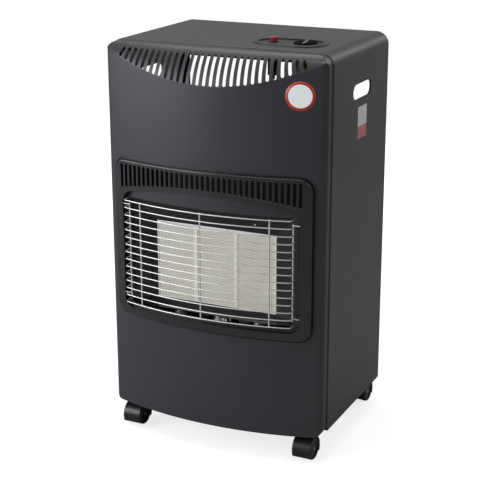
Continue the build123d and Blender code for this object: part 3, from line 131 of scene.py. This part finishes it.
# Colour, roughness, stretch of the lines along x, y and z, mottle, depth of the lines.
BRUSHED = {
    "aged_brass": ((0.11, 0.09, 0.06), 0.5, (7, 7, 2), 0.1, 0.00004),
    "bright_steel": ((0.74, 0.72, 0.67), 0.3, (1, 6, 14), 0.1, 0.00004),
    "guard_chrome": ((0.58, 0.58, 0.57), 0.5, (9, 2, 9), 0.05, 0.00002),
    "pipe_metal": ((0.66, 0.65, 0.63), 0.32, (4, 4, 4), 0.1, 0.00004),
    "brass": ((0.58, 0.41, 0.17), 0.3, (7, 7, 2), 0.1, 0.00004),
    "screw_steel": ((0.62, 0.61, 0.59), 0.28, (5, 5, 5), 0.1, 0.00004),
}
COAT_ROUGHNESS = 0.2
ZINC_DARK, ZINC_LIGHT, SPANGLE_SCALE = (0.36, 0.37, 0.38), (0.5, 0.51, 0.52), 110
CERAMIC_DARK, CERAMIC_LIGHT = (0.75, 0.72, 0.635), (0.82, 0.80, 0.73)
# Painted shade in the flame holes: the ceramic's colour darkens towards the middle of each hole.
HOLE_SHADE, HOLE_SHADE_EDGES = (0.42, 0.39, 0.33), (0.2, 0.34)  # edges in flame hole pitches
HOLE_DEPTH, HOLE_DEPTH_EDGES = 0.0006, (0.16, 0.36)
# Nodes that look different from the other nodes of their slot.
FINISH = {
    "control_knob": "knob_black",
    "burner_frame": "frame_enamel",
    "gas_valve": "aged_brass",
    "pilot_burner": "bright_steel",
}


def at(x, y, z):
    """A point given in the drawing's millimetres, in the row frame's metres."""
    return Vector((x / 1000, y / 1000 + SHIFT_Y, z / 1000))


# --------------------------------------------------------------- materials
def new_material(name):
    material = bpy.data.materials.new(name)
    material.use_nodes = True
    tree = material.node_tree
    return material, tree, tree.nodes["Principled BSDF"]


def object_coords(tree, stretch=(1, 1, 1)):
    coords = tree.nodes.new("ShaderNodeTexCoord")
    mapping = tree.nodes.new("ShaderNodeMapping")
    mapping.inputs["Scale"].default_value = stretch
    tree.links.new(coords.outputs["Object"], mapping.inputs["Vector"])
    return mapping.outputs["Vector"]


def noise(tree, scale, detail, stretch=(1, 1, 1), roughness=0.55):
    node = tree.nodes.new("ShaderNodeTexNoise")
    node.inputs["Scale"].default_value = scale
    node.inputs["Detail"].default_value = detail
    node.inputs["Roughness"].default_value = roughness
    tree.links.new(object_coords(tree, stretch), node.inputs["Vector"])
    return node.outputs["Fac"]


def ramp(tree, source, low, high, first, last):
    """The colour first up to low, last from high on, and a blend between them."""
    node = tree.nodes.new("ShaderNodeValToRGB")
    node.color_ramp.elements[0].position = low
    node.color_ramp.elements[1].position = high
    node.color_ramp.elements[0].color = (*first, 1)
    node.color_ramp.elements[1].color = (*last, 1)
    tree.links.new(source, node.inputs["Fac"])
    return node.outputs["Color"]


def span(tree, source, low, high, from_low=0.3, from_high=0.7):
    """A value that runs from low to high while source runs from from_low to from_high."""
    node = tree.nodes.new("ShaderNodeMapRange")
    node.inputs["From Min"].default_value = from_low
    node.inputs["From Max"].default_value = from_high
    node.inputs["To Min"].default_value = low
    node.inputs["To Max"].default_value = high
    tree.links.new(source, node.inputs["Value"])
    return node.outputs["Result"]


def calculate(tree, operation, first, second):
    """A maths node between a socket and a second socket or a number."""
    node = tree.nodes.new("ShaderNodeMath")
    node.operation = operation
    tree.links.new(first, node.inputs[0])
    if isinstance(second, float):
        node.inputs[1].default_value = second
    else:
        tree.links.new(second, node.inputs[1])
    return node.outputs[0]


def add_bump(tree, shader, height, strength, distance, below=None):
    node = tree.nodes.new("ShaderNodeBump")
    node.inputs["Strength"].default_value = strength
    node.inputs["Distance"].default_value = distance
    tree.links.new(height, node.inputs["Height"])
    if below is not None:
        tree.links.new(below, node.inputs["Normal"])
    tree.links.new(node.outputs["Normal"], shader.inputs["Normal"])
    return node.outputs["Normal"]


def shade(color, factor):
    return tuple(min(1.0, channel * factor) for channel in color)


def coated(name, color, rough, grain, grain_depth, strength, specular, mottle, coat):
    """Paint, plastic or enamel: slight mottling, uneven gloss and a fine surface grain."""
    material, tree, shader = new_material(name)
    broad = noise(tree, scale=9, detail=4)
    tone = ramp(tree, broad, 0.3, 0.7, shade(color, 1 - mottle), shade(color, 1 + mottle))
    tree.links.new(tone, shader.inputs["Base Color"])
    gloss = noise(tree, scale=40, detail=5)
    tree.links.new(span(tree, gloss, rough * 0.96, rough * 1.04), shader.inputs["Roughness"])
    shader.inputs["Specular IOR Level"].default_value = specular
    shader.inputs["Coat Weight"].default_value = coat
    shader.inputs["Coat Roughness"].default_value = COAT_ROUGHNESS
    add_bump(tree, shader, noise(tree, grain, detail=2), strength, grain_depth)
    return material


def brushed(name, color, rough, stretch, mottle, depth):
    """Metal with drawn or rolled lines."""
    material, tree, shader = new_material(name)
    lines = noise(tree, scale=60, detail=6, stretch=stretch, roughness=0.7)
    tone = ramp(tree, lines, 0.25, 0.75, shade(color, 1 - mottle), shade(color, 1 + mottle))
    tree.links.new(tone, shader.inputs["Base Color"])
    tree.links.new(span(tree, lines, rough * 0.8, rough * 1.25), shader.inputs["Roughness"])
    shader.inputs["Metallic"].default_value = 1.0
    add_bump(tree, shader, lines, strength=0.3, distance=depth)
    return material


def zinc():
    """Galvanised sheet with a faint spangle."""
    material, tree, shader = new_material("zinc_steel")
    cells = tree.nodes.new("ShaderNodeTexVoronoi")
    cells.inputs["Scale"].default_value = SPANGLE_SCALE
    tree.links.new(object_coords(tree), cells.inputs["Vector"])
    grey = tree.nodes.new("ShaderNodeRGBToBW")
    tree.links.new(cells.outputs["Color"], grey.inputs["Color"])
    tone = ramp(tree, grey.outputs["Val"], 0.1, 0.9, ZINC_DARK, ZINC_LIGHT)
    tree.links.new(tone, shader.inputs["Base Color"])
    tree.links.new(span(tree, grey.outputs["Val"], 0.38, 0.5, 0, 1), shader.inputs["Roughness"])
    shader.inputs["Metallic"].default_value = 1.0
    add_bump(tree, shader, noise(tree, scale=500, detail=3), strength=0.15, distance=0.00005)
    return material


def flame_holes(tree):
    """Grows from 0 in the middle of each flame hole; 1 on the plain rims of the plaques."""
    coords = tree.nodes.new("ShaderNodeTexCoord")
    parts = tree.nodes.new("ShaderNodeSeparateXYZ")
    flat = tree.nodes.new("ShaderNodeCombineXYZ")
    tree.links.new(coords.outputs["Object"], parts.inputs["Vector"])
    tree.links.new(parts.outputs["X"], flat.inputs["X"])
    tree.links.new(parts.outputs["Z"], flat.inputs["Y"])
    grid = tree.nodes.new("ShaderNodeTexVoronoi")
    grid.voronoi_dimensions = "2D"
    grid.inputs["Scale"].default_value = 1 / FLAME_HOLE_PITCH
    grid.inputs["Randomness"].default_value = 0.0
    tree.links.new(flat.outputs["Vector"], grid.inputs["Vector"])
    from_middle = calculate(tree, "PINGPONG", parts.outputs["X"], PLAQUE_PITCH / 2)
    rim_end = PLAQUE_HOLES_HALF + PLAQUE_RIM_BLEND
    plain_rim = span(tree, from_middle, 0, 1, PLAQUE_HOLES_HALF, rim_end)
    return calculate(tree, "MAXIMUM", grid.outputs["Distance"], plain_rim)


def plaque_ceramic():
    """Burner ceramic: a close grid of small flame holes in a warm matt body, each hole darkened
    with painted shade.
    """
    material, tree, shader = new_material("plaque_ceramic")
    from_hole = flame_holes(tree)
    patches = noise(tree, scale=28, detail=5)
    body = ramp(tree, patches, 0.3, 0.72, CERAMIC_DARK, CERAMIC_LIGHT)
    # Painted shade: the body colour is multiplied darker towards the middle of each flame hole.
    hole = ramp(tree, from_hole, *HOLE_SHADE_EDGES, HOLE_SHADE, WHITE)
    mix = tree.nodes.new("ShaderNodeMix")
    mix.data_type = "RGBA"
    mix.blend_type = "MULTIPLY"
    mix.inputs["Factor"].default_value = 1.0
    tree.links.new(body, mix.inputs["A"])
    tree.links.new(hole, mix.inputs["B"])
    tree.links.new(mix.outputs["Result"], shader.inputs["Base Color"])
    shader.inputs["Roughness"].default_value = 0.85
    shader.inputs["Specular IOR Level"].default_value = 0.2
    depth = span(tree, from_hole, 0, 1, *HOLE_DEPTH_EDGES)
    grain = noise(tree, scale=1500, detail=3)
    fine = add_bump(tree, shader, grain, strength=0.2, distance=0.0001)
    add_bump(tree, shader, depth, strength=0.8, distance=HOLE_DEPTH, below=fine)
    return material


MATERIALS = {name: coated(name, *look) for name, look in COATED.items()}
MATERIALS.update({name: brushed(name, *look) for name, look in BRUSHED.items()})
MATERIALS["zinc_steel"] = zinc()
MATERIALS["ceramic"] = plaque_ceramic()

for name, item in nodes.items():
    item.data.materials.clear()
    item.data.materials.append(MATERIALS[FINISH.get(name, slot_of[name])])


# ------------------------------------------------------------------ pieces
def add_piece(name, shape, material, smooth=True):
    """Turns a bmesh into a piece that rides on the cabinet."""
    bmesh.ops.recalc_face_normals(shape, faces=shape.faces)
    mesh = bpy.data.meshes.new(name)
    shape.to_mesh(mesh)
    shape.free()
    for polygon in mesh.polygons:
        polygon.use_smooth = smooth
    mesh.materials.append(MATERIALS[material])
    piece = bpy.data.objects.new(name, mesh)
    bpy.context.scene.collection.objects.link(piece)
    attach(piece, "cabinet")


def shell(points, faces):
    shape = bmesh.new()
    corners = [shape.verts.new(point) for point in points]
    for face in faces:
        shape.faces.new([corners[k] for k in face])
    return shape


def raised_shape(name, top, foot, material):
    """A flat face with straight sides, from its outline on top and the same outline at the foot."""
    count = len(top)
    faces = [tuple(range(count))]
    faces += [(k, (k + 1) % count, count + (k + 1) % count, count + k) for k in range(count)]
    add_piece(name, shell(top + foot, faces), material, smooth=False)


def bow(x):
    """Where the bowed face of the front panel is at x."""
    return BOW_R - PANEL_CREST - math.sqrt(BOW_R * BOW_R - x * x) + SHIFT_Y


def sign_part(name, radii, lift, material):
    """Rings from radius to radius that lie on the bowed face, with the outer edge turned back."""
    points, faces = [], []
    for radius in radii:
        for k in range(SIGN_STEPS):
            angle = 2 * math.pi * k / SIGN_STEPS
            x = SIGN_X + radius * math.cos(angle)
            z = SIGN_Z + radius * math.sin(angle)
            points.append((x, bow(x) - lift, z))
    points += [(x, y + lift * SIGN_EDGE_DROP, z) for x, y, z in points[-SIGN_STEPS:]]
    for ring in range(len(radii)):
        for k in range(SIGN_STEPS):
            a = ring * SIGN_STEPS + k
            b = ring * SIGN_STEPS + (k + 1) % SIGN_STEPS
            faces.append((a, b, b + SIGN_STEPS, a + SIGN_STEPS))
    add_piece(name, shell(points, faces), material)


def front_sign():
    """Plain white disc with a plain red rim."""
    disc_radii = [SIGN_DISC_RADIUS * k / SIGN_RINGS for k in range(SIGN_RINGS + 1)]
    sign_part("front_sign_disc", disc_radii, SIGN_DISC_LIFT, "sign_white")
    sign_part("front_sign_rim", SIGN_RIM_RADII, SIGN_RIM_LIFT, "sign_red")


def rounded_rect(width, height, radius, steps=6):
    points = []
    for side_x, side_z, start in ((1, 1, 0), (-1, 1, 90), (-1, -1, 180), (1, -1, 270)):
        for k in range(steps + 1):
            angle = math.radians(start + 90 * k / steps)
            points.append((
                side_x * (width / 2 - radius) + radius * math.cos(angle),
                side_z * (height / 2 - radius) + radius * math.sin(angle),
            ))
    return points


def side_label():
    """Plain two-tone sticker on the right side wall."""
    middle_y = at(*LABEL_AT).y
    for name, low, high, material in LABEL_PARTS:
        middle_z = (low + high) / 2
        outline = [(middle_y + u, middle_z + v)
                   for u, v in rounded_rect(LABEL_WIDTH, high - low, LABEL_CORNER)]
        top = [(SIDE_WALL_X + LABEL_FACE, y, z) for y, z in outline]
        foot = [(SIDE_WALL_X + LABEL_FOOT, y, z) for y, z in outline]
        raised_shape(name, top, foot, material)


def screw(name, place, direction, radius):
    """Pan-head screw with a cross recess: a crowned head with a cross sunk into its top."""
    steps, rings = 24, 7
    height = radius * 0.55
    groove_half, groove_reach, groove_depth = radius * 0.16, radius * 0.62, height * 0.6
    crown_end, crown_power = 0.96, 0.8  # the crown ends in a small ring with one flat face in it
    head = bmesh.new()
    loops = []
    for ring in range(rings):
        rise = ring / (rings - 1) * math.pi / 2
        r = radius * math.cos(rise * crown_end)
        h = height * math.sin(rise) ** crown_power
        loop = []
        for k in range(steps):
            angle = 2 * math.pi * k / steps
            x, y = r * math.cos(angle), r * math.sin(angle)
            in_groove = min(abs(x), abs(y)) < groove_half and r < groove_reach
            loop.append(head.verts.new((x, y, h - groove_depth if in_groove else h)))
        loops.append(loop)
    foot = [head.verts.new((vert.co.x, vert.co.y, -SCREW_SUNK)) for vert in loops[0]]
    for lower, upper in zip([foot] + loops[:-1], loops):
        for k in range(steps):
            after = (k + 1) % steps
            head.faces.new((lower[k], lower[after], upper[after], upper[k]))
    head.faces.new(loops[-1])
    turn = Vector((0, 0, 1)).rotation_difference(Vector(direction)).to_matrix().to_4x4()
    bmesh.ops.transform(head, matrix=Matrix.Translation(place) @ turn, verts=head.verts)
    add_piece(name, head, "screw_steel")


def screws():
    """Two screws on the burner frame's top strip and one on the reflector's upper slope."""
    low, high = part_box("burner_frame")
    for index, x in enumerate(FRAME_SCREWS_X):
        place = Vector((x, low[1], high[2] - FRAME_SCREW_DROP))
        screw(f"frame_screw_{index}", place, (0, -1, 0), FRAME_SCREW_RADIUS)
    _, spot, outward, _ = nodes["reflector"].closest_point_on_mesh(at(*REFLECTOR_SCREW_AT))
    screw("reflector_screw", spot, outward, REFLECTOR_SCREW_RADIUS)


def tray_mark(name, place, outline):
    """A small raised mark on the sunken floor of the control tray."""
    points = [at(*place) + Vector((u, v, 0)) for u, v in outline]
    top = [(p.x, p.y, FLOOR_OF_TRAY + MARK_HEIGHT) for p in points]
    foot = [(p.x, p.y, FLOOR_OF_TRAY) for p in points]
    raised_shape(name, top, foot, "mark_dark")


def tray_marks():
    """The dash and the dot beside the knob."""
    u, v = DASH_LENGTH / 2, DASH_WIDTH / 2
    tray_mark("dial_mark_dash", DASH_AT, [(-u, -v), (u, -v), (u, v), (-u, v)])
    turns = [2 * math.pi * k / DOT_STEPS for k in range(DOT_STEPS)]
    circle = [(DOT_RADIUS * math.cos(turn), DOT_RADIUS * math.sin(turn)) for turn in turns]
    tray_mark("dial_mark_dot", DOT_AT, circle)


front_sign()
side_label()
screws()
tray_marks()


# --------------------------------------------------------- floor and light
def floor():
    """White studio floor that takes a faint shadow and turns full white away from the object."""
    mesh = bpy.data.meshes.new("floor")
    near = [(-FLOOR_REACH, -FLOOR_REACH, 0), (FLOOR_REACH, -FLOOR_REACH, 0)]
    far = [(FLOOR_REACH, FLOOR_BEHIND, 0), (-FLOOR_REACH, FLOOR_BEHIND, 0)]
    mesh.from_pydata(near + far, [], [(0, 1, 2, 3)])
    material, tree, shader = new_material("floor_white")
    tone = ramp(tree, noise(tree, scale=2, detail=2), 0.3, 0.7, FLOOR_DARK, FLOOR_LIGHT)
    tree.links.new(tone, shader.inputs["Base Color"])
    shader.inputs["Roughness"].default_value = 0.9
    shader.inputs["Specular IOR Level"].default_value = 0.0
    shader.inputs["Emission Color"].default_value = (*WHITE, 1)
    path = tree.nodes.new("ShaderNodeLightPath")
    coords = tree.nodes.new("ShaderNodeTexCoord")
    distance = tree.nodes.new("ShaderNodeVectorMath")
    distance.operation = "LENGTH"
    tree.links.new(coords.outputs["Object"], distance.inputs[0])
    glow = span(tree, distance.outputs["Value"], GLOW_NEAR, GLOW_FAR, GLOW_FROM, GLOW_TO)
    level = calculate(tree, "MULTIPLY", path.outputs["Is Camera Ray"], glow)
    tree.links.new(level, shader.inputs["Emission Strength"])
    mesh.materials.append(material)
    plane = bpy.data.objects.new("floor", mesh)
    bpy.context.scene.collection.objects.link(plane)


def world():
    """White where the camera looks past the object, and a dim fill everywhere else."""
    scene = bpy.context.scene
    scene.world = bpy.data.worlds.new("studio")
    scene.world.use_nodes = True
    tree = scene.world.node_tree
    background = tree.nodes["Background"]
    path = tree.nodes.new("ShaderNodeLightPath")
    seen = calculate(tree, "MAXIMUM", path.outputs["Is Camera Ray"],
                     path.outputs["Is Transmission Ray"])
    mirrored = span(tree, path.outputs["Is Glossy Ray"], WORLD_FILL, WORLD_GLOSSY, 0, 1)
    background.inputs["Color"].default_value = (*WHITE, 1)
    tree.links.new(calculate(tree, "MAXIMUM", seen, mirrored), background.inputs["Strength"])


def area_light(name, place, target, width, height, power, tint):
    light = bpy.data.lights.new(name, "AREA")
    light.shape = "RECTANGLE"
    light.size = width
    light.size_y = height
    light.energy = power
    light.color = tint
    lamp = bpy.data.objects.new(name, light)
    lamp.location = place
    lamp.rotation_euler = (Vector(target) - Vector(place)).to_track_quat("-Z", "Y").to_euler()
    bpy.context.scene.collection.objects.link(lamp)


def camera():
    """The camera that the photograph was solved for."""
    azimuth, elevation = math.radians(CAMERA_AZIMUTH), math.radians(CAMERA_ELEVATION)
    roll = math.radians(CAMERA_ROLL)
    back = Vector((
        math.sin(azimuth) * math.cos(elevation),
        -math.cos(azimuth) * math.cos(elevation),
        math.sin(elevation),
    ))
    level = Vector((math.cos(azimuth), math.sin(azimuth), 0))
    upright = back.cross(level)
    right = level * math.cos(roll) + upright * math.sin(roll)
    up = upright * math.cos(roll) - level * math.sin(roll)
    data = bpy.data.cameras.new("camera")
    data.sensor_width = SENSOR_MM
    data.lens = SENSOR_MM * FOCAL_PIXELS / PHOTO_PIXELS
    data.clip_start = 0.1
    eye = bpy.data.objects.new("camera", data)
    turn = Matrix((right, up, back)).transposed().to_4x4()
    eye.matrix_world = Matrix.Translation(at(*CAMERA_TARGET_AT) + back * CAMERA_DISTANCE) @ turn
    bpy.context.scene.collection.objects.link(eye)
    bpy.context.scene.camera = eye


floor()
world()
camera()
for lamp_values in LAMPS:
    area_light(*lamp_values)
bpy.context.scene.view_settings.view_transform = "Standard"
